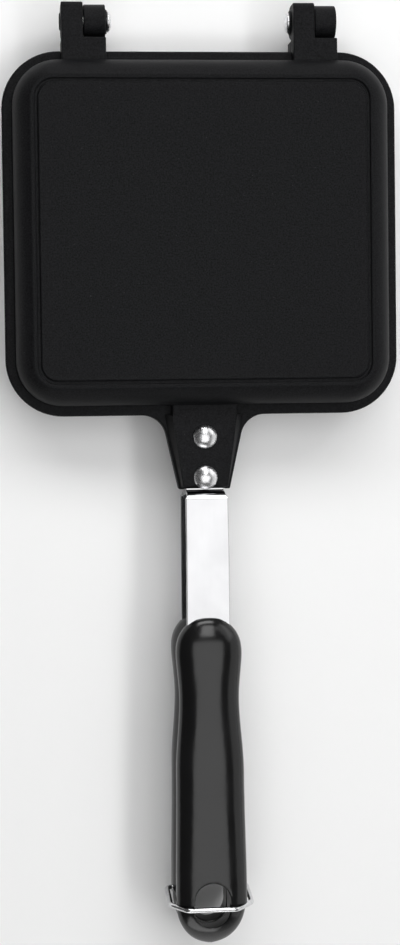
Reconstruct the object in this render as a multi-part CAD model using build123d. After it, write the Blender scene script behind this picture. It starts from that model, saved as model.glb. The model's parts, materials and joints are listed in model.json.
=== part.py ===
from build123d import *
import os
from math import asin, copysign, cos, degrees, hypot, pi, radians, sin

# A hinged waffle pan. Each half is drawn with the parting plane at z = 0 and its outer face
# upwards, hinges towards +Y and handle towards -Y. The lower half is the same half turned over.
# All sizes are in millimetres.

# Pan casting
pan_width = 145.0
pan_length = 133.0
pan_corner = 21.0
half_height = 16.5
rim_gap = 0.3
flange_thickness = 3.2
flange_edge = 0.9
shoulder_inset = 3.9
shoulder_height = 8.5
shoulder_corner = 16.6
shoulder_round = 1.1
slope_run = 6.3
slope_bulge = 1.1
band_corner = 8.6
band_round = 1.0
band_width = 2.1
groove_width = 1.3
groove_depth = 0.9

# Cooking space
rim_wall = 6.5
floor_inset = 12.0
floor_thickness = 3.5
floor_corner = 7.0
floor_round = 1.5
cavity_corner = 13.0
tip_depth = 4.0
knobs_per_quarter = 4
channel_width = 4.4
knob_draft = 1.3
knob_corner = 1.2
knob_tip_chamfer = 0.5
divider_base = 6.0
divider_top = 3.4

# Hinges: two lugs on the back of each half, split into two knuckles side by side
hinge_spacing = 84.8
lug_width = 16.2
lug_height = 7.4
lug_chamfer = 1.1
lug_root = 5.0
hinge_reach = 11.1
knuckle_radius = 6.2
knuckle_gap = 0.4
lug_clearance = 0.4
pin_radius = 2.0
pin_clearance = 0.06
pin_head_radius = 3.75
pin_head_height = 1.5
pin_head_gap = 0.2
head_edge_share = 0.25
pin_end_wall = 1.4
head_boss_radius = 4.4
head_boss_height = 0.7
tail_boss_radius = 3.1
tail_boss_height = 0.5

# Front tang
tang_length = 27.4
tang_root_width = 31.0
tang_end_width = 18.9
tang_pad_root = 23.8
tang_pad_end = 16.6
tang_pad_ledge = 0.7
tang_pad_end_slope = 0.4
tang_height = 7.4
tang_root_radius = 9.0
channel_play = 0.25
channel_end_play = 0.4

# Steel strap
strap_thickness = 2.0
strap_neck_width = 14.1
strap_front_width = 15.6
strap_width = 16.1
strap_tang_reach = 24.0
strap_rest = 0.9
strap_rise_gap = 1.25
strap_rise_run = 1.15
strap_rise_height = 9.8
strap_bow_height = 11.2
strap_end_height = 9.2
strap_bend = 1.2
strap_bow_radius = 130.0
strap_shoulder = 1.4
strap_tail_width = 11.0
strap_tail_length = 27.0

# Rivets through tang and strap
rivet_pitch = 15.0
rivet_end_distance = 4.4
rivet_radius = 2.0
rivet_head_radius = 4.35
rivet_head_height = 2.3
rivet_tail_radius = 3.2
rivet_tail_height = 0.5

# Handle
handle_gap = 46.4
handle_length = 122.85
handle_nose = 16.8
handle_front_dome = 12.6
handle_front_half_width = 12.1
handle_waist_half_width = 11.0
handle_waist_place = 30.2
handle_body_half_width = 12.5
handle_body_place = 58.0
handle_end_half_width = 13.1
handle_inner = 1.0
handle_widest = 10.0
handle_outer = 15.9
handle_waist_dip = 0.7
handle_flat = 0.7
nose_half_width = 13.0
nose_drop = 3.0
nose_widest = 0.5
nose_end_share = 0.35
nose_overlap = 3.0
section_points = 24
front_squareness = 0.87
waist_squareness = 0.98
body_squareness = 0.86
end_squareness = 0.78
dome_steps = 5
body_steps = 16
nose_steps = 8
hole_width = 13.2
hole_length = 17.8
hole_edge_distance = 7.15
screw_radius = 1.6
screw_head_radius = 3.2
screw_head_height = 1.8
screw_sink = 0.6
screw_slot = 1.0
screw_tip_height = 13.0
screw_end_distance = 9.0

# Wire latch
wire_radius = 0.95
wire_play = 0.06
wire_step_gap = 0.85
latch_pivot_height = 9.0
latch_lean = 3.4
latch_side_gap = 1.0
latch_bar_gap = 0.3
latch_corner = 6.0
latch_bend = 3.0
latch_pivot_bend = 2.0
latch_end_depth = 4.0
latch_bore_play = 0.4

# How far joined or cut shapes run into each other
overlap = 0.5

# Values worked out from the sizes above
front_edge = -pan_length / 2
back_edge = pan_length / 2
band_inset = shoulder_inset + slope_run
groove_inset = band_inset + band_width
floor_height = half_height - floor_thickness
rim_face = rim_gap / 2
hinge_axis_y = back_edge + hinge_reach
knuckle_width = (lug_width - knuckle_gap) / 2
tang_end_y = front_edge - tang_length
strap_back_y = tang_end_y + strap_tang_reach
strap_top = strap_rest + strap_thickness
handle_front_y = tang_end_y - handle_gap
handle_end_y = handle_front_y - handle_length
step_y = handle_end_y + handle_nose
latch_bar_y = step_y - wire_step_gap - wire_radius
latch_pivot_y = latch_bar_y + latch_lean
latch_arm_x = handle_end_half_width + latch_side_gap + wire_radius
latch_bar_height = handle_outer - nose_drop + latch_bar_gap + wire_radius
latch_reach = hypot(latch_lean, latch_bar_height + latch_pivot_height)
nose_arc = latch_reach - wire_radius - latch_bar_gap
rivet_front_y = tang_end_y + rivet_end_distance
rivet_back_y = rivet_front_y + rivet_pitch
screw_y = handle_front_y - strap_tail_length + screw_end_distance


def rounded_plate(inset, corner, height):
    return Pos(0, 0, height) * RectangleRounded(
        pan_width - 2 * inset, pan_length - 2 * inset, corner
    )


def block(x_low, x_high, y_low, y_high, z_low, z_high):
    size = (x_high - x_low, y_high - y_low, z_high - z_low)
    middle = ((x_low + x_high) / 2, (y_low + y_high) / 2, (z_low + z_high) / 2)
    return Pos(*middle) * Box(*size)


def post(radius, height):
    # A round bar standing on z = 0.
    return Cylinder(radius, height, align=(Align.CENTER, Align.CENTER, Align.MIN))


def cross_cylinder(radius, x_low, x_high, y, z):
    return Pos((x_low + x_high) / 2, y, z) * Rot(0, 90, 0) * Cylinder(radius, x_high - x_low)


def drill(radius, y):
    # Cuts right through one half from above.
    return Pos(0, y, -overlap) * post(radius, half_height + 2 * overlap)


def top_edges(solid):
    return solid.faces().sort_by(Axis.Z)[-1].outer_wire().edges()


def flange():
    # The rim flange runs on round the foot of the tang.
    foot = make_face(Polyline(
        (-tang_root_width / 2, front_edge + rim_wall),
        (-tang_root_width / 2, front_edge),
        (-tang_end_width / 2, tang_end_y),
        (tang_end_width / 2, tang_end_y),
        (tang_root_width / 2, front_edge),
        (tang_root_width / 2, front_edge + rim_wall),
        close=True,
    ))
    outline = rounded_plate(0, pan_corner, 0) + foot
    roots = [
        corner for corner in outline.vertices()
        if abs(corner.Y - front_edge) < 0.01 and abs(abs(corner.X) - tang_root_width / 2) < 0.01
    ]
    outline = fillet(roots, tang_root_radius)
    plate = Pos(0, 0, rim_face) * extrude(outline, flange_thickness - rim_face)
    return fillet(top_edges(plate), flange_edge)


def raised_pan():
    # Shoulder wall, then a slope that bulges outwards up to the flat band.
    rise = half_height - shoulder_height
    slope_length = hypot(slope_run, rise)
    wall = Pos(0, 0, rim_face) * extrude(
        rounded_plate(shoulder_inset, shoulder_corner, 0), shoulder_height - rim_face
    )
    slope = loft([
        rounded_plate(shoulder_inset, shoulder_corner, shoulder_height),
        rounded_plate(
            shoulder_inset + slope_run / 2 - slope_bulge * rise / slope_length,
            (shoulder_corner + band_corner) / 2 + slope_bulge,
            shoulder_height + rise / 2 + slope_bulge * slope_run / slope_length,
        ),
        rounded_plate(band_inset, band_corner, half_height),
    ])
    slope = fillet(top_edges(slope), band_round)
    raised = wall + slope
    shoulder = [
        edge for edge in raised.edges()
        if abs(edge.center().Z - shoulder_height) < 0.01
    ]
    return fillet(shoulder, shoulder_round)


def panel_groove():
    corner = band_corner - band_width
    outer = rounded_plate(groove_inset - groove_width / 2, corner + groove_width / 2, 0)
    inner = rounded_plate(groove_inset + groove_width / 2, corner - groove_width / 2, 0)
    ring = extrude(outer - inner, groove_depth)
    return Pos(0, 0, half_height - groove_depth) * ring


def cavity():
    space = loft([
        rounded_plate(rim_wall, cavity_corner, 0),
        rounded_plate(floor_inset, floor_corner, floor_height),
    ], ruled=True)
    return fillet(top_edges(space), floor_round)


def knob(base_x, base_y):
    # Drawn standing on its base and then turned tip down, towards the parting plane.
    height = floor_height - tip_depth
    solid = Wedge(
        base_x, height, base_y, knob_draft, knob_draft, base_x - knob_draft, base_y - knob_draft
    )
    sloping = [edge for edge in solid.edges() if abs(edge.center().Y) < 0.01]
    solid = fillet(sloping, knob_corner)
    tip = solid.faces().sort_by(Axis.Y)[-1].outer_wire().edges()
    return Pos(0, 0, floor_height - height / 2) * Rot(-90, 0, 0) * chamfer(tip, knob_tip_chamfer)


def divider(length, along_x):
    slice_shape = make_face(Polyline(
        (-divider_base / 2, floor_height),
        (-divider_top / 2, tip_depth),
        (divider_top / 2, tip_depth),
        (divider_base / 2, floor_height),
        close=True,
    ))
    bar = extrude(Plane.XZ * slice_shape, length / 2, both=True)
    return Rot(0, 0, 90) * bar if along_x else bar


def grid():
    # Four quarters of tapered knobs with a bar between the quarters.
    quarter_x = pan_width / 2 - floor_inset - divider_base / 2
    quarter_y = pan_length / 2 - floor_inset - divider_base / 2
    pitch_x = quarter_x / knobs_per_quarter
    pitch_y = quarter_y / knobs_per_quarter
    one = knob(pitch_x - channel_width, pitch_y - channel_width)
    pieces = [
        divider(pan_length - rim_wall - floor_inset, False),
        divider(pan_width - rim_wall - floor_inset, True),
    ]
    for side_x in (-1, 1):
        for side_y in (-1, 1):
            for column in range(knobs_per_quarter):
                for row in range(knobs_per_quarter):
                    x = side_x * (divider_base / 2 + pitch_x * (column + 0.5))
                    y = side_y * (divider_base / 2 + pitch_y * (row + 0.5))
                    pieces.append(Pos(x, y, 0) * one)
    return pieces


def lug(hinge_x):
    # A block on the rim and one knuckle: square on its own side, round on the other.
    left = hinge_x - lug_width / 2
    root_y = back_edge - lug_root
    base = block(
        left, left + lug_width, root_y, hinge_axis_y - knuckle_radius - lug_clearance,
        rim_face, lug_height,
    )
    arm = block(
        left, left + knuckle_width, root_y, hinge_axis_y + knuckle_radius, rim_face, lug_height
    )
    far_edge = arm.edges().filter_by(Axis.X).sort_by(Axis.Y)[-2:].sort_by(Axis.Z)[-1]
    arm = chamfer(far_edge, lug_chamfer)
    round_part = cross_cylinder(knuckle_radius, left, left + knuckle_width, hinge_axis_y, 0)
    return base + arm + round_part


def hinge_lugs():
    # The left lug's knuckle is closed at the outer end and grips its pin. The right lug's
    # knuckle is bored right through, with running clearance, and has the pin's head beside it.
    grip_left = -hinge_spacing / 2 - lug_width / 2
    run_left = hinge_spacing / 2 - lug_width / 2
    tail_boss = cross_cylinder(
        tail_boss_radius, grip_left - tail_boss_height, grip_left + overlap, hinge_axis_y, 0
    )
    head_boss = cross_cylinder(
        head_boss_radius, run_left - head_boss_height, run_left + overlap, hinge_axis_y, 0
    )
    grip_bore = cross_cylinder(
        pin_radius, grip_left + pin_end_wall, grip_left + lug_width, hinge_axis_y, 0
    )
    run_bore = cross_cylinder(
        pin_radius + pin_clearance, run_left - lug_width, run_left + lug_width, hinge_axis_y, 0
    )
    solids = [lug(-hinge_spacing / 2), lug(hinge_spacing / 2), tail_boss, head_boss]
    return solids, [grip_bore, run_bore]


def hinge_pin():
    # Gripped by the left lug's closed knuckle; the head is beside the other half's knuckle.
    closed_end = -hinge_spacing / 2 - lug_width / 2 + pin_end_wall
    head_seat = -hinge_spacing / 2 + lug_width / 2 + head_boss_height + pin_head_gap
    shank = cross_cylinder(pin_radius, closed_end, head_seat + pin_head_height / 2, hinge_axis_y, 0)
    return shank + Pos(head_seat, hinge_axis_y, 0) * Rot(0, 90, 0) * button(
        pin_head_radius, pin_head_height
    )


def button(radius, height):
    # A domed head with a short straight edge, standing on z = 0.
    dome = height * (1 - head_edge_share)
    sphere_radius = (radius ** 2 + dome ** 2) / (2 * dome)
    return post(radius, height) & Pos(0, 0, height - sphere_radius) * Sphere(sphere_radius)


def tang_pad():
    foot_z = flange_thickness - overlap
    pad = loft([
        Pos(0, 0, foot_z) * make_face(Polyline(
            (-tang_root_width / 2 + tang_pad_ledge, front_edge),
            (-tang_end_width / 2 + tang_pad_ledge, tang_end_y + tang_pad_ledge),
            (tang_end_width / 2 - tang_pad_ledge, tang_end_y + tang_pad_ledge),
            (tang_root_width / 2 - tang_pad_ledge, front_edge),
            close=True,
        )),
        Pos(0, 0, tang_height) * make_face(Polyline(
            (-tang_pad_root / 2, front_edge),
            (-tang_pad_end / 2, tang_end_y + tang_pad_ledge + tang_pad_end_slope),
            (tang_pad_end / 2, tang_end_y + tang_pad_ledge + tang_pad_end_slope),
            (tang_pad_root / 2, front_edge),
            close=True,
        )),
    ], ruled=True)
    root = block(
        -tang_pad_root / 2, tang_pad_root / 2, front_edge - overlap,
        front_edge + shoulder_inset + overlap, foot_z, tang_height,
    )
    return pad + root


def strap_channel():
    half = strap_neck_width / 2 + channel_play
    return block(
        -half, half, tang_end_y - overlap, strap_back_y + channel_end_play, -overlap, strap_top
    )


def pan_casting():
    lugs, bores = hinge_lugs()
    body = flange() + raised_pan() - panel_groove() - cavity()
    body = body + grid() + lugs + tang_pad()
    body = body - bores - strap_channel()
    return body - drill(rivet_radius, rivet_back_y) - drill(rivet_radius, rivet_front_y)


def strap_outline():
    # Narrow neck under the tang, full width in sight, narrow tail inside the handle.
    neck = strap_neck_width / 2
    front = strap_front_width / 2
    full = strap_width / 2
    tail = strap_tail_width / 2
    neck_end = tang_end_y - strap_shoulder
    tail_start = handle_front_y - handle_front_dome
    tail_end = handle_front_y - strap_tail_length
    side = [
        (neck, strap_back_y), (neck, neck_end), (front, neck_end - strap_shoulder),
        (full, tail_start), (tail, tail_start - full + tail), (tail, tail_end),
    ]
    other_side = [(-x, y) for x, y in reversed(side)]
    return extrude(make_face(Polyline(*side, *other_side, close=True)), half_height)


def strap():
    # It lies flat under the tang, rises just in front of it and bows up towards the handle.
    low = strap_rest + strap_thickness / 2
    rise_y = tang_end_y - strap_rise_gap
    tail_end = handle_front_y - strap_tail_length
    path = FilletPolyline(
        (strap_back_y, low),
        (rise_y, low),
        (rise_y - strap_rise_run, strap_rise_height),
        ((rise_y + handle_front_y) / 2, strap_bow_height),
        (tail_end, strap_end_height),
        radius=[strap_bend, strap_bend, strap_bow_radius],
    )
    ribbon = extrude(Plane.YZ * trace(path, strap_thickness), strap_width, both=True)
    bent = ribbon & strap_outline()
    bent = bent - drill(rivet_radius, rivet_back_y) - drill(rivet_radius, rivet_front_y)
    return bent - drill(screw_radius, screw_y)


def tang_rivet(rivet_y):
    tail_z = strap_rest - rivet_tail_height
    shank = post(rivet_radius, tang_height - strap_rest)
    tail = post(rivet_tail_radius, rivet_tail_height)
    head = Pos(0, 0, tang_height) * button(rivet_head_radius, rivet_head_height)
    return Pos(0, rivet_y, 0) * (Pos(0, 0, strap_rest) * shank + Pos(0, 0, tail_z) * tail + head)


def handle_section(y, half_width, top, squareness, widest=handle_widest, share=1.0):
    # An egg shape, widest at one level. Below a squareness of 1 it is squarer than an ellipse.
    drop = widest - handle_inner + handle_flat
    points = []
    for step in range(section_points):
        turn = 2 * pi * step / section_points
        reach = top - widest if sin(turn) > 0 else drop
        points.append((
            share * half_width * squared(cos(turn), squareness),
            share * reach * squared(sin(turn), squareness),
        ))
    return Pos(0, y, widest) * Rot(90, 0, 0) * make_face(Spline(*points, periodic=True))


def squared(value, squareness):
    return copysign(abs(value) ** squareness, value)


def blend(distance, stations):
    # Smooth steps between (distance, value) stations.
    for (low, low_value), (high, high_value) in zip(stations, stations[1:]):
        if distance <= high:
            share = (1 - cos(pi * (distance - low) / (high - low))) / 2
            return low_value + (high_value - low_value) * share
    return stations[-1][1]


def handle_grip():
    body_start = handle_front_dome
    body_end = handle_length - handle_nose
    widths = [
        (body_start, handle_front_half_width),
        (handle_waist_place, handle_waist_half_width),
        (handle_body_place, handle_body_half_width),
        (body_end, handle_end_half_width),
    ]
    tops = [
        (body_start, handle_outer),
        (handle_waist_place, handle_outer - handle_waist_dip),
        (handle_body_place, handle_outer),
        (body_end, handle_outer),
    ]
    squarenesses = [
        (body_start, front_squareness),
        (handle_waist_place, waist_squareness),
        (handle_body_place, body_squareness),
        (body_end, end_squareness),
    ]
    sections = []
    for step in range(1, dome_steps):
        angle = radians(90 * step / dome_steps)
        y = handle_front_y - handle_front_dome * (1 - cos(angle))
        sections.append(handle_section(
            y, handle_front_half_width, handle_outer, front_squareness, share=sin(angle)
        ))
    for step in range(body_steps + 1):
        distance = body_start + (body_end - body_start) * step / body_steps
        sections.append(handle_section(
            handle_front_y - distance, blend(distance, widths), blend(distance, tops),
            blend(distance, squarenesses),
        ))
    return loft(sections)


def handle_end():
    # The nose past the step is rounded off under the arc that the wire's bar swings through.
    sections = []
    last = nose_steps - nose_end_share
    depth = handle_nose / sin(radians(90 * last / nose_steps))
    for step in range(-1, nose_steps + 1):
        angle = radians(90 * max(0, min(step, last)) / nose_steps)
        y = step_y + nose_overlap if step < 0 else step_y - depth * sin(angle)
        arc_top = (nose_arc ** 2 - (y - latch_pivot_y) ** 2) ** 0.5 - latch_pivot_height
        top = min(arc_top, handle_outer - nose_drop)
        widest = handle_inner + nose_widest * (top - handle_inner)
        sections.append(handle_section(y, nose_half_width * cos(angle), top, 1.0, widest))
    return loft(sections)


def handle():
    slot_y = handle_end_y + hole_edge_distance + hole_length / 2
    under = block(
        -pan_width / 2, pan_width / 2, handle_end_y - overlap, handle_front_y + overlap,
        -half_height, handle_inner,
    )
    hanging_hole = Pos(0, slot_y, 0) * extrude(
        Rot(0, 0, 90) * SlotOverall(hole_length, hole_width), half_height * 2
    )
    grip = handle_grip() + handle_end() - under - hanging_hole - strap()
    for side in (-1, 1):
        outer_x = side * pan_width / 2
        inner_x = side * (handle_end_half_width - latch_end_depth - latch_bore_play)
        grip = grip - cross_cylinder(
            wire_radius + wire_play, min(outer_x, inner_x), max(outer_x, inner_x),
            latch_pivot_y, latch_pivot_height,
        )
    return grip - screw_space()


def screw_space():
    low = handle_inner - overlap
    head = post(screw_head_radius, overlap + screw_sink + screw_head_height)
    shank = post(screw_radius, screw_tip_height - low)
    return Pos(0, screw_y, low) * (head + shank)


def handle_screw():
    head = post(screw_head_radius, screw_head_height) - block(
        -screw_head_radius, screw_head_radius, -screw_slot / 2, screw_slot / 2,
        0, screw_head_height / 3,
    )
    head_z = handle_inner + screw_sink
    shank = post(screw_radius, screw_tip_height - head_z - screw_head_height / 2)
    return Pos(0, screw_y, head_z) * (head + Pos(0, 0, screw_head_height / 2) * shank)


def latch_wire():
    # Both ends turn into the lower handle's sides; the bar crosses the upper handle's nose.
    # The wire is drawn flat and upright from the pivot, then leaned out to the nose.
    end_x = handle_end_half_width - latch_end_depth
    flat_x = latch_arm_x - latch_corner
    corner = latch_reach - latch_corner
    side = [
        (end_x, 0, 0), (latch_arm_x, 0, 0), (latch_arm_x, 0, corner), (flat_x, 0, latch_reach),
    ]
    other_side = [(-x, y, z) for x, y, z in reversed(side)]
    path = FilletPolyline(
        *side, *other_side,
        radius=[latch_pivot_bend, *[latch_bend] * 4, latch_pivot_bend],
    )
    start = Plane(origin=(end_x, 0, 0), z_dir=(1, 0, 0))
    wire = sweep(start * Circle(wire_radius), path=path)
    lean = degrees(asin(latch_lean / latch_reach))
    return Pos(0, latch_pivot_y, -latch_pivot_height) * Rot(lean, 0, 0) * wire


def turned_over(shape):
    return Rot(0, 180, 0) * shape


os.makedirs("parts", exist_ok=True)
half_pieces = {
    "pan": pan_casting(),
    "strap": strap(),
    "handle": handle(),
    "handle_screw": handle_screw(),
    "tang_rivet_back": tang_rivet(rivet_back_y),
    "tang_rivet_front": tang_rivet(rivet_front_y),
}
pieces = {"left_hinge_pin": hinge_pin(), "right_hinge_pin": turned_over(hinge_pin())}
for name, shape in half_pieces.items():
    pieces["upper_" + name] = shape
    pieces["lower_" + name] = turned_over(shape)
pieces["latch_wire"] = latch_wire()
for name, shape in pieces.items():
    export_step(Pos(0, 0, half_height) * shape, f"parts/{name}.step")
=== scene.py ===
import bpy, bmesh, json
from math import cos, pi, radians, sin, tan
from mathutils import Matrix, Vector


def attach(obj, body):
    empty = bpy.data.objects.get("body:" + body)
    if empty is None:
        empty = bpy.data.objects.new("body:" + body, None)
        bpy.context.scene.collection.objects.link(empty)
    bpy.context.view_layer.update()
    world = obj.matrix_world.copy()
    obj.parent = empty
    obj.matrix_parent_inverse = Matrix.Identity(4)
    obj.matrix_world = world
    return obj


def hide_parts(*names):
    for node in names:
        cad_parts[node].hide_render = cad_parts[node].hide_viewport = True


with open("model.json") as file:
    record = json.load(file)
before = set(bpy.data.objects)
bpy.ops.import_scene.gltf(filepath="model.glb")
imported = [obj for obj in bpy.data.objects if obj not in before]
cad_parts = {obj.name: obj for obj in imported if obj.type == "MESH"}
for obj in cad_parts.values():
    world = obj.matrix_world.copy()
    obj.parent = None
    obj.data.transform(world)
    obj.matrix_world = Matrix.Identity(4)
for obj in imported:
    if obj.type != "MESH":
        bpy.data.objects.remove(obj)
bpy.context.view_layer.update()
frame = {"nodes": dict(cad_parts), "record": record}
print("frame loaded:", len(frame["nodes"]), "nodes")


# Finishes. Patterns lie on the object's own coordinates, in metres.

def addNode(tree, kind, **settings):
    node = tree.nodes.new(kind)
    for key, value in settings.items():
        setattr(node, key, value)
    return node


def setInputs(node, **values):
    # An underscore in a name stands for the space in the socket's name.
    for key, value in values.items():
        node.inputs[key.replace("_", " ")].default_value = value


def startFinish(name):
    material = bpy.data.materials.new(name)
    material.use_nodes = True
    tree = material.node_tree
    shader = tree.nodes["Principled BSDF"]
    place = addNode(tree, "ShaderNodeTexCoord")
    return material, tree, shader, place.outputs["Object"]


def noiseAt(tree, place, scale, detail, roughness, stretch=None):
    if stretch:
        mapping = addNode(tree, "ShaderNodeMapping")
        setInputs(mapping, Scale=stretch)
        tree.links.new(place, mapping.inputs["Vector"])
        place = mapping.outputs["Vector"]
    noise = addNode(tree, "ShaderNodeTexNoise")
    setInputs(noise, Scale=scale, Detail=detail, Roughness=roughness)
    tree.links.new(place, noise.inputs["Vector"])
    return noise.outputs["Fac"]


def spread(tree, value, low, high, fromLow=0.3, fromHigh=0.7):
    # Stretches a pattern to run between two values. Noise lies mostly between 0.3 and 0.7.
    node = addNode(tree, "ShaderNodeMapRange", clamp=True)
    setInputs(node, From_Min=fromLow, From_Max=fromHigh, To_Min=low, To_Max=high)
    tree.links.new(value, node.inputs["Value"])
    return node.outputs["Result"]


def tint(tree, pattern, dark, light):
    node = addNode(tree, "ShaderNodeValToRGB")
    node.color_ramp.elements[0].color = (*dark, 1)
    node.color_ramp.elements[1].color = (*light, 1)
    tree.links.new(spread(tree, pattern, 0, 1), node.inputs["Fac"])
    return node.outputs["Color"]


def addSurface(tree, shader, tone, roughPattern, roughRange, **settings):
    tree.links.new(tone, shader.inputs["Base Color"])
    tree.links.new(spread(tree, roughPattern, *roughRange), shader.inputs["Roughness"])
    setInputs(shader, **settings)


def addBump(tree, shader, *layers):
    # Layers are (pattern, (strength, depth in metres)), the coarsest first.
    last = None
    for pattern, (strength, depth) in layers:
        bump = addNode(tree, "ShaderNodeBump")
        setInputs(bump, Strength=strength, Distance=depth)
        tree.links.new(pattern, bump.inputs["Height"])
        if last:
            tree.links.new(last, bump.inputs["Normal"])
        last = bump.outputs["Normal"]
    tree.links.new(last, shader.inputs["Normal"])


coatingLook = {
    "dark": (0.0006, 0.0007, 0.0008),
    "light": (0.0112, 0.0114, 0.0126),
    "grain": {"scale": 1700, "detail": 3, "roughness": 0.6},
    "grainBump": (0.6, 0.00005),
    "ripple": {"scale": 420, "detail": 2, "roughness": 0.5},
    "rippleBump": (0.5, 0.00006),
    "rough": (0.42, 0.56),
    "gloss": 0.085,
    "fleckScale": 260,
    "fleckReach": (0.03, 0.054),
    "fleckTone": (0.03, 0.03, 0.032),
}


def coatedCasting():
    look = coatingLook
    material, tree, shader, place = startFinish("coated_casting")
    grain = noiseAt(tree, place, **look["grain"])
    ripple = noiseAt(tree, place, **look["ripple"])
    fleck = addNode(tree, "ShaderNodeTexVoronoi")
    setInputs(fleck, Scale=look["fleckScale"])
    tree.links.new(place, fleck.inputs["Vector"])
    flecked = addNode(tree, "ShaderNodeMix", data_type="RGBA")
    setInputs(flecked, B=(*look["fleckTone"], 1))
    fleckMask = spread(tree, fleck.outputs["Distance"], 1, 0, *look["fleckReach"])
    tree.links.new(fleckMask, flecked.inputs["Factor"])
    tree.links.new(tint(tree, grain, look["dark"], look["light"]), flecked.inputs["A"])
    addSurface(
        tree, shader, flecked.outputs["Result"], grain, look["rough"], Specular_IOR_Level=look["gloss"]
    )
    addBump(tree, shader, (ripple, look["rippleBump"]), (grain, look["grainBump"]))
    return material


strapLook = {
    "dark": (0.53, 0.53, 0.54),
    "light": (0.60, 0.60, 0.61),
    "lines": {"scale": 900, "detail": 3, "roughness": 0.6, "stretch": (1.0, 0.02, 1.0)},
    "linesBump": (0.4, 0.000004),
    "cloud": {"scale": 60, "detail": 3, "roughness": 0.5},
    "rough": (0.07, 0.14),
}


def polishedStrap():
    look = strapLook
    material, tree, shader, place = startFinish("polished_strap")
    lines = noiseAt(tree, place, **look["lines"])
    cloud = noiseAt(tree, place, **look["cloud"])
    addSurface(tree, shader, tint(tree, cloud, look["dark"], look["light"]), lines, look["rough"], Metallic=1)
    addBump(tree, shader, (lines, look["linesBump"]))
    return material


gripLook = {
    "dark": (0.0030, 0.0030, 0.0032),
    "light": (0.0050, 0.0050, 0.0052),
    "cloud": {"scale": 35, "detail": 4, "roughness": 0.6},
    "haze": {"scale": 90, "detail": 3, "roughness": 0.6},
    "rough": (0.14, 0.21),
    "peel": {"scale": 260, "detail": 2, "roughness": 0.5},
    "peelBump": (0.35, 0.000012),
    "gloss": 0.5,
}


def glossyGrip():
    look = gripLook
    material, tree, shader, place = startFinish("glossy_grip")
    cloud = noiseAt(tree, place, **look["cloud"])
    haze = noiseAt(tree, place, **look["haze"])
    peel = noiseAt(tree, place, **look["peel"])
    addSurface(
        tree, shader, tint(tree, cloud, look["dark"], look["light"]), haze, look["rough"],
        Specular_IOR_Level=look["gloss"],
    )
    addBump(tree, shader, (peel, look["peelBump"]))
    return material


# Small dents, with a finer and shallower grain on them.
metalLooks = {
    "plated_steel": {
        "name": "plated_screw", "dark": (0.55, 0.55, 0.54), "light": (0.72, 0.71, 0.69),
        "dentScale": 900, "dentDepth": 0.00002, "rough": (0.25, 0.4),
    },
    "rivet_metal": {
        "name": "bright_rivet", "dark": (0.70, 0.70, 0.71), "light": (0.85, 0.85, 0.86),
        "dentScale": 420, "dentDepth": 0.00025, "rough": (0.2, 0.34),
    },
    "latch_steel": {
        "name": "bright_wire", "dark": (0.62, 0.62, 0.63), "light": (0.78, 0.78, 0.79),
        "dentScale": 700, "dentDepth": 0.00002, "rough": (0.08, 0.16),
    },
}
dentPattern = {"detail": 3, "roughness": 0.55, "strength": 0.5}
grainPattern = {"detail": 2, "roughness": 0.5, "strength": 0.3, "finer": 7, "shallower": 0.1}


def brightMetal(look):
    dent, grain = dentPattern, grainPattern
    material, tree, shader, place = startFinish(look["name"])
    dents = noiseAt(tree, place, look["dentScale"], dent["detail"], dent["roughness"])
    fine = noiseAt(tree, place, look["dentScale"] * grain["finer"], grain["detail"], grain["roughness"])
    addSurface(tree, shader, tint(tree, dents, look["dark"], look["light"]), fine, look["rough"], Metallic=1)
    addBump(
        tree, shader,
        (dents, (dent["strength"], look["dentDepth"])),
        (fine, (grain["strength"], look["dentDepth"] * grain["shallower"])),
    )
    return material


finishes = {"coated_pan": coatedCasting(), "strap_steel": polishedStrap(), "handle_black": glossyGrip()}
for slot, look in metalLooks.items():
    finishes[slot] = brightMetal(look)
for subpart in frame["record"]["subparts"]:
    node = frame["nodes"][subpart["node"]]
    node.data.materials.clear()
    node.data.materials.append(finishes[subpart["material_slot"]])
print("finishes made:", len(finishes))


# Making pieces. Each half is drawn in millimetres with the parting plane at z = 0 and its outer
# face upwards, as in the drawing of the pan, and becomes metres as each piece is finished.

millimetre = 0.001
weldReach = 0.002
halfHeight = 16.5
halfPlace = {"upper": Matrix.Translation((0, 0, halfHeight))}
halfPlace["lower"] = halfPlace["upper"] @ Matrix.Rotation(pi, 4, "Y")

# Edges stay smooth under a slight turn, and under a piece's sharp angle between faces of like size.
# A wide flat face beside small ones keeps its own normal, so it reflects as a flat one.
shading = {"slightTurn": 3, "wideShare": 20}


def finishPiece(bm, name, node, body, slot, half="upper", sharpAngle=32):
    bmesh.ops.remove_doubles(bm, verts=bm.verts, dist=weldReach)
    bmesh.ops.recalc_face_normals(bm, faces=bm.faces)
    bmesh.ops.transform(bm, matrix=halfPlace[half], verts=bm.verts)
    bmesh.ops.scale(bm, vec=(millimetre,) * 3, verts=bm.verts)
    addPiece(bm, name, node, body, slot, sharpAngle)


def addPiece(bm, name, node, body, slot, sharpAngle):
    for face in bm.faces:
        face.smooth = True
    areas = {face: face.calc_area() for face in bm.faces}
    for edge in bm.edges:
        turn = edge.calc_face_angle(0)
        small, large = sorted(areas[face] for face in edge.link_faces)
        alike = large < shading["wideShare"] * small
        edge.smooth = turn < radians(shading["slightTurn"]) or (turn < radians(sharpAngle) and alike)
    mesh = bpy.data.meshes.new(name)
    bm.to_mesh(mesh)
    bm.free()
    mesh.materials.append(finishes[slot])
    piece = bpy.data.objects.new(name, mesh)
    bpy.context.scene.collection.objects.link(piece)
    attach(piece, body)
    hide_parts(node)


def everything(bm):
    return bm.verts[:] + bm.edges[:] + bm.faces[:]


def onlyKind(parts, kind):
    return [part for part in parts if isinstance(part, kind)]


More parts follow.
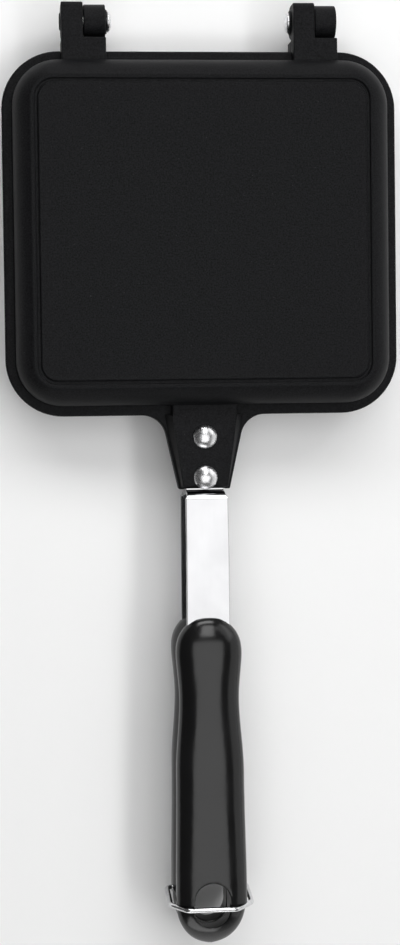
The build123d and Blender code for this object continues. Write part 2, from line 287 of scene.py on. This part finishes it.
def rounded(bm, edges, offset, segments):
    bmesh.ops.bevel(
        bm, geom=edges, offset=offset, offset_type="OFFSET", segments=segments, profile=0.5,
        affect="EDGES", clamp_overlap=False, material=-1,
    )


def hardEdges(bm, angle):
    return [
        edge for edge in bm.edges
        if len(edge.link_faces) == 2 and edge.calc_face_angle(0) > radians(angle)
    ]


# Castings and grips: the drawing's own form with its hard edges softened. Between the two "crisp"
# places along Y the edges lie too close together to be softened.
softened = {
    "pan": {
        "slot": "coated_pan", "edge": 0.35, "segments": 2, "suffix": "cast", "crisp": (-69.9, -66.4),
    },
    "handle": {
        "slot": "handle_black", "edge": 0.45, "segments": 3, "suffix": "moulded", "crisp": (-246.6, -243.1),
    },
}
softening = {"weldReach": 0.002, "flatTurn": 0.3, "hardAngle": 28, "sharpAngle": 35}


def softenedCopy(half, kind):
    look = softened[kind]
    name = f"{half}_{kind}"
    bm = bmesh.new()
    bm.from_mesh(frame["nodes"][name].data)
    bmesh.ops.remove_doubles(bm, verts=bm.verts, dist=softening["weldReach"] * millimetre)
    bmesh.ops.dissolve_limit(
        bm, angle_limit=radians(softening["flatTurn"]), verts=bm.verts, edges=bm.edges,
        use_dissolve_boundaries=False,
    )
    low, high = (place * millimetre for place in look["crisp"])
    edges = [
        edge for edge in hardEdges(bm, softening["hardAngle"])
        if not all(low < vert.co.y < high for vert in edge.verts)
    ]
    rounded(bm, edges, look["edge"] * millimetre, look["segments"])
    addPiece(
        bm, f"{name}_{look['suffix']}", name, f"{half}_half", look["slot"], softening["sharpAngle"]
    )


# Straps. The run follows the outer surface in (y, z), from under the tang to inside the grip. Bends
# are (y, radius, segments) at the corners of the run, and half widths are (y, half width).
strapShape = {
    "thickness": 2.0,
    "run": [(-69.9, 2.9), (-94.285, 2.9), (-95.427, 10.745), (-117.71, 12.2), (-167.3, 10.2)],
    "bends": [(-94.285, 0.2, 4), (-95.427, 2.2, 8), (-117.71, 131.0, 24)],
    "halfWidths": [
        (-69.9, 7.05), (-95.3, 7.05), (-96.7, 7.8), (-152.9, 8.05), (-155.45, 5.5), (-167.3, 5.5),
    ],
    "edge": 0.3,
    "edgeSegments": 2,
    "edgeAngle": 55,
    "samePlace": 0.01,
}


def between(stations, place):
    # The value at a place between (place, value) stations that run from high to low.
    for (high, highValue), (low, lowValue) in zip(stations, stations[1:]):
        if place >= low:
            return highValue + (lowValue - highValue) * (high - place) / (high - low)
    return stations[-1][1]


def addStrap(half):
    shape = strapShape
    bm = bmesh.new()
    y, z = shape["run"][0]
    edge = bm.edges.new([bm.verts.new((-1, y, z)), bm.verts.new((1, y, z))])
    for (y, z), (nextY, nextZ) in zip(shape["run"], shape["run"][1:]):
        grown = bmesh.ops.extrude_edge_only(bm, edges=[edge])["geom"]
        ends = onlyKind(grown, bmesh.types.BMVert)
        edge = bm.edges.get(ends)
        bmesh.ops.translate(bm, vec=(0, nextY - y, nextZ - z), verts=ends)
    for place, radius, segments in shape["bends"]:
        across = [e for e in bm.edges if all(abs(v.co.y - place) < shape["samePlace"] for v in e.verts)]
        turn = across[0].calc_face_angle(0)
        rounded(bm, across, radius * tan(turn / 2), segments)
    for place, _ in shape["halfWidths"][1:-1]:
        bmesh.ops.bisect_plane(bm, geom=everything(bm), plane_co=(0, place, 0), plane_no=(0, 1, 0))
    for vert in bm.verts:
        vert.co.x *= between(shape["halfWidths"], vert.co.y)
    bmesh.ops.recalc_face_normals(bm, faces=bm.faces)
    if sum(face.normal.z * face.calc_area() for face in bm.faces) < 0:
        bmesh.ops.reverse_faces(bm, faces=bm.faces)
    bmesh.ops.solidify(bm, geom=bm.faces[:], thickness=shape["thickness"])
    bmesh.ops.recalc_face_normals(bm, faces=bm.faces)
    rounded(bm, hardEdges(bm, shape["edgeAngle"]), shape["edge"], shape["edgeSegments"])
    finishPiece(bm, f"{half}_strap_bent", f"{half}_strap", f"{half}_half", "strap_steel", half)


# Rivets and hinge pins. Outlines are (radius, height) from the middle of one end to that of the other.
turnSteps = 48
rivetShape = {
    "places": {"back": -74.5, "front": -89.5},
    "outline": [
        (0, 0.4), (2.95, 0.4), (3.2, 0.62), (3.2, 0.9), (2.0, 0.9), (2.0, 7.4), (4.2, 7.4), (4.35, 7.55),
        (4.33, 7.92), (4.0, 8.35), (3.4, 8.83), (2.6, 9.25), (1.7, 9.54), (0.8, 9.67), (0, 9.7),
    ],
}
pinShape = {
    "left": -49.1,
    "axis": 77.6,
    "outline": [
        (0, 0), (1.7, 0), (2.0, 0.3), (2.0, 15.7), (3.6, 15.7), (3.75, 15.85), (3.73, 16.1),
        (3.4, 16.5), (2.7, 16.86), (1.8, 17.08), (0.9, 17.18), (0, 17.2),
    ],
}


def turned(outline):
    bm = bmesh.new()
    verts = [bm.verts.new((radius, 0, height)) for radius, height in outline]
    edges = [bm.edges.new(pair) for pair in zip(verts, verts[1:])]
    bmesh.ops.spin(
        bm, geom=verts + edges, cent=(0, 0, 0), axis=(0, 0, 1), dvec=(0, 0, 0),
        angle=2 * pi, steps=turnSteps, use_merge=True, use_duplicate=False,
    )
    return bm


def addRivet(half, place):
    bm = turned(rivetShape["outline"])
    bmesh.ops.translate(bm, vec=(0, rivetShape["places"][place], 0), verts=bm.verts)
    node = f"{half}_tang_rivet_{place}"
    finishPiece(bm, f"{node}_domed", node, f"{half}_half", "rivet_metal", half)


def addHingePin(side, half):
    bm = turned(pinShape["outline"])
    place = Matrix.Translation((pinShape["left"], pinShape["axis"], 0)) @ Matrix.Rotation(pi / 2, 4, "Y")
    bmesh.ops.transform(bm, matrix=place, verts=bm.verts)
    finishPiece(bm, f"{side}_hinge_pin_domed", f"{side}_hinge_pin", f"{half}_half", "rivet_metal", half)


# Wire latch. Drawn upright with its pivot along X, then leant back in degrees and set in its place.
wireShape = {
    "radius": 0.95,
    "sides": 20,
    "end": 9.1,
    "arm": 15.05,
    "reach": 23.398,
    "corner": 6.0,
    "pivotBend": 2.0,
    "cornerBend": 3.0,
    "bendSteps": 8,
    "seamReach": 0.01,
    "pivot": (0, -244.75, -9.0),
    "lean": 8.355,
}


def addLatch():
    # Half of the loop, from one end up to the middle of the bar, and then the same mirrored.
    shape = wireShape
    bm = bmesh.new()
    bmesh.ops.create_circle(bm, cap_ends=True, radius=shape["radius"], segments=shape["sides"])
    start = Matrix.Translation((shape["end"], 0, 0)) @ Matrix.Rotation(pi / 2, 4, "Y")
    bmesh.ops.transform(bm, matrix=start, verts=bm.verts)
    cornerCut = shape["cornerBend"] * tan(pi / 8)
    moves = [
        ("run", shape["arm"] - shape["end"] - shape["pivotBend"]),
        ("bend", pi / 2, shape["pivotBend"]),
        ("run", shape["reach"] - shape["corner"] - shape["pivotBend"] - cornerCut),
        ("bend", pi / 4, shape["cornerBend"]),
        ("run", shape["corner"] * 2 ** 0.5 - 2 * cornerCut),
        ("bend", pi / 4, shape["cornerBend"]),
        ("run", shape["arm"] - shape["corner"] - cornerCut),
    ]
    heading, tip = 0.0, Vector((shape["end"], 0, 0))
    front = list(bm.edges)
    for kind, amount, *radius in moves:
        ahead = Vector((cos(heading), 0, sin(heading)))
        if kind == "run":
            grown = bmesh.ops.extrude_edge_only(bm, edges=front)["geom"]
            verts = onlyKind(grown, bmesh.types.BMVert)
            bmesh.ops.translate(bm, vec=ahead * amount, verts=verts)
            front = [
                edge for edge in onlyKind(grown, bmesh.types.BMEdge)
                if all(vert in verts for vert in edge.verts)
            ]
            tip += ahead * amount
        else:
            centre = tip + Vector((-ahead.z, 0, ahead.x)) * radius[0]
            spun = bmesh.ops.spin(
                bm, geom=front, cent=centre, axis=(0, -1, 0), angle=amount,
                steps=shape["bendSteps"], use_duplicate=False,
            )["geom_last"]
            front = onlyKind(spun, bmesh.types.BMEdge)
            heading += amount
            tip = centre + Vector((sin(heading), 0, -cos(heading))) * radius[0]
    bmesh.ops.mirror(bm, geom=everything(bm), axis="X", merge_dist=shape["seamReach"])
    place = Matrix.Translation(shape["pivot"]) @ Matrix.Rotation(radians(shape["lean"]), 4, "X")
    bmesh.ops.transform(bm, matrix=place, verts=bm.verts)
    finishPiece(bm, "latch_wire_bent", "latch_wire", "latch", "latch_steel")


for half in ("upper", "lower"):
    softenedCopy(half, "pan")
    softenedCopy(half, "handle")
    addStrap(half)
    for place in rivetShape["places"]:
        addRivet(half, place)
addHingePin("left", "upper")
addHingePin("right", "lower")
addLatch()


# Studio, in metres. The floor glows softly beyond the reach of the lights, so it stays pale up to
# the horizon.
floorLook = {
    "width": 60.0,
    "tone": (0.86, 0.86, 0.86),
    "shade": 0.985,
    "cloud": {"scale": 3, "detail": 2, "roughness": 0.5},
    "roughness": 0.75,
    "glow": 0.72,
    "glowReach": (0.8, 2.6),
}


def paleFloor():
    look = floorLook
    bm = bmesh.new()
    bmesh.ops.create_grid(bm, x_segments=1, y_segments=1, size=look["width"] / 2)
    mesh = bpy.data.meshes.new("floor")
    bm.to_mesh(mesh)
    bm.free()
    floor = bpy.data.objects.new("floor", mesh)
    bpy.context.scene.collection.objects.link(floor)
    material, tree, shader, place = startFinish("pale_floor")
    cloud = noiseAt(tree, place, **look["cloud"])
    shade = [look["shade"] * part for part in look["tone"]]
    tree.links.new(tint(tree, cloud, shade, look["tone"]), shader.inputs["Base Color"])
    distance = addNode(tree, "ShaderNodeVectorMath", operation="LENGTH")
    tree.links.new(place, distance.inputs[0])
    glow = spread(tree, distance.outputs["Value"], 0, look["glow"], *look["glowReach"])
    tree.links.new(glow, shader.inputs["Emission Strength"])
    setInputs(shader, Roughness=look["roughness"], Emission_Color=(1, 1, 1, 1))
    mesh.materials.append(material)


# A box's glow is its brightness, where 1 shows as white. A box marked "shine" is only seen in
# reflections, and one marked "fill" only lights the surfaces.
softboxes = {
    "overhead": {
        "kind": "shine", "glow": 1.55, "size": (1.3, 1.1),
        "at": (0.05, -0.38, 1.55), "aim": (0.05, -0.38, 0.0),
    },
    "back_high": {
        "kind": "shine", "glow": 3.4, "size": (0.5, 0.9),
        "at": (0.06, 0.8, 1.35), "aim": (0.0, -0.25, 0.0),
    },
    "back_corner": {
        "kind": "shine", "glow": 0.9, "size": (1.3, 1.1),
        "at": (1.1, 0.9, 1.1), "aim": (0.0, 0.0, 0.0),
    },
    "hinge_side": {
        "kind": "shine", "glow": 4.5, "size": (0.9, 0.5),
        "at": (-0.1, 1.5, 0.7), "aim": (0.0, 0.0, 0.0),
    },
    "right_side": {
        "kind": "shine", "glow": 0.7, "size": (4.0, 1.2),
        "at": (1.5, 0.0, 0.75), "aim": (0.0, 0.0, 0.0),
    },
    "handle_side": {
        "kind": "shine", "glow": 1.9, "size": (0.95, 0.6),
        "at": (-0.2, -1.4, 0.4), "aim": (0.0, -0.25, 0.0),
    },
    "hinge_fill": {
        "kind": "fill", "glow": 5.0, "size": (2.0, 0.4),
        "at": (0.1, 0.85, 0.85), "aim": (0.0, 0.0, 0.0),
    },
    "right_fill": {
        "kind": "fill", "glow": 5.0, "size": (2.2, 0.3),
        "at": (0.95, -0.1, 1.5), "aim": (0.0, -0.1, 0.0),
    },
    "top_fill": {
        "kind": "fill", "glow": 0.7, "size": (2.4, 1.6),
        "at": (0.0, 0.1, 1.8), "aim": (0.0, 0.0, 0.0),
    },
    "handle_fill": {
        "kind": "fill", "glow": 4.0, "size": (2.0, 0.3),
        "at": (0.1, -0.75, 1.6), "aim": (0.0, -0.2, 0.0),
    },
}


def addSoftbox(name, setting):
    width, height = setting["size"]
    lamp = bpy.data.lights.new(name, "AREA")
    lamp.shape = "RECTANGLE"
    lamp.size, lamp.size_y = width, height
    lamp.energy = setting["glow"] * pi * width * height
    holder = bpy.data.objects.new(name, lamp)
    holder.location = setting["at"]
    direction = Vector(setting["aim"]) - Vector(setting["at"])
    holder.rotation_euler = direction.to_track_quat("-Z", "Y").to_euler()
    holder.visible_diffuse = setting["kind"] != "shine"
    holder.visible_glossy = setting["kind"] != "fill"
    bpy.context.scene.collection.objects.link(holder)


# Pale near the horizon on the right, darker on the left and overhead.
roomLight = {"left": 0.14, "right": 0.6, "above": 0.08, "sideReach": 0.7, "horizonReach": 0.35}


def paleRoom():
    light = roomLight
    world = bpy.data.worlds.new("room")
    bpy.context.scene.world = world
    world.use_nodes = True
    tree = world.node_tree
    place = addNode(tree, "ShaderNodeTexCoord")
    split = addNode(tree, "ShaderNodeSeparateXYZ")
    tree.links.new(place.outputs["Generated"], split.inputs["Vector"])
    side = spread(
        tree, split.outputs["X"], light["left"], light["right"], -light["sideReach"], light["sideReach"]
    )
    height = spread(tree, split.outputs["Z"], 0, 1, 0.0, light["horizonReach"])
    level = addNode(tree, "ShaderNodeMix", data_type="FLOAT")
    setInputs(level, B=light["above"])
    tree.links.new(height, level.inputs["Factor"])
    tree.links.new(side, level.inputs["A"])
    tree.links.new(level.outputs["Result"], tree.nodes["Background"].inputs["Color"])


# Fitted to the rim, hinges, rivets and handle in the picture. Place in metres, turn in radians.
cameraFit = {
    "place": (-0.07643, -0.05704, 0.76558),
    "turn": (-0.04101, -0.09990, -0.01267),
    "lens": 51.61,
    "sensor": 24.0,
}


def addCamera():
    data = bpy.data.cameras.new("camera")
    data.sensor_fit = "VERTICAL"
    data.sensor_height = cameraFit["sensor"]
    data.lens = cameraFit["lens"]
    camera = bpy.data.objects.new("camera", data)
    camera.location = cameraFit["place"]
    camera.rotation_mode = "ZXY"
    camera.rotation_euler = cameraFit["turn"]
    bpy.context.scene.collection.objects.link(camera)
    bpy.context.scene.camera = camera


paleFloor()
paleRoom()
for name, setting in softboxes.items():
    addSoftbox(name, setting)
addCamera()
bpy.context.scene.view_settings.view_transform = "Standard"
print("studio ready")
